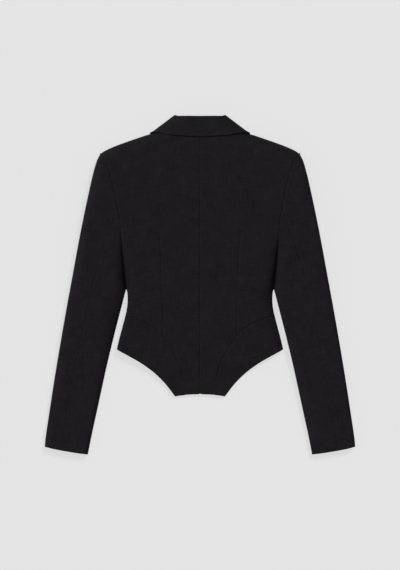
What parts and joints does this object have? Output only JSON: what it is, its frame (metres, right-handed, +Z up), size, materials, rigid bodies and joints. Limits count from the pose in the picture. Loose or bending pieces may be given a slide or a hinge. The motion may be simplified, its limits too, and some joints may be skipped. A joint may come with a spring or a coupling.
{
  "type": "asymmetric blazer",
  "caption": "Cropped tailored blazer with curved hip seams, a pointed back tail and an off-centre wrap front, laid flat with its back up.",
  "frame": {"origin": "middle of the bounding box's underside, on the surface that the garment lies on", "axes": "+X to the wearer's right, +Y from hem to collar, +Z up from the surface, out of the garment's back"},
  "size_m": [0.652, 0.7122, 0.0317],
  "materials": {
    "suiting": "matt black suiting weave",
    "button": "satin black"
  },
  "bodies": {
    "root": {"back_right": "suiting", "back_left": "suiting", "hip_panel_right": "suiting", "hip_panel_left": "suiting", "upper_sleeve_right": "suiting", "upper_sleeve_left": "suiting", "under_sleeve_right": "suiting", "under_sleeve_left": "suiting", "front_right": "suiting", "front_left": "suiting", "lapel_right": "suiting", "lapel_left": "suiting", "collar_fall": "suiting", "collar_stand": "suiting", "button": "button"}
  },
  "joints": []
}
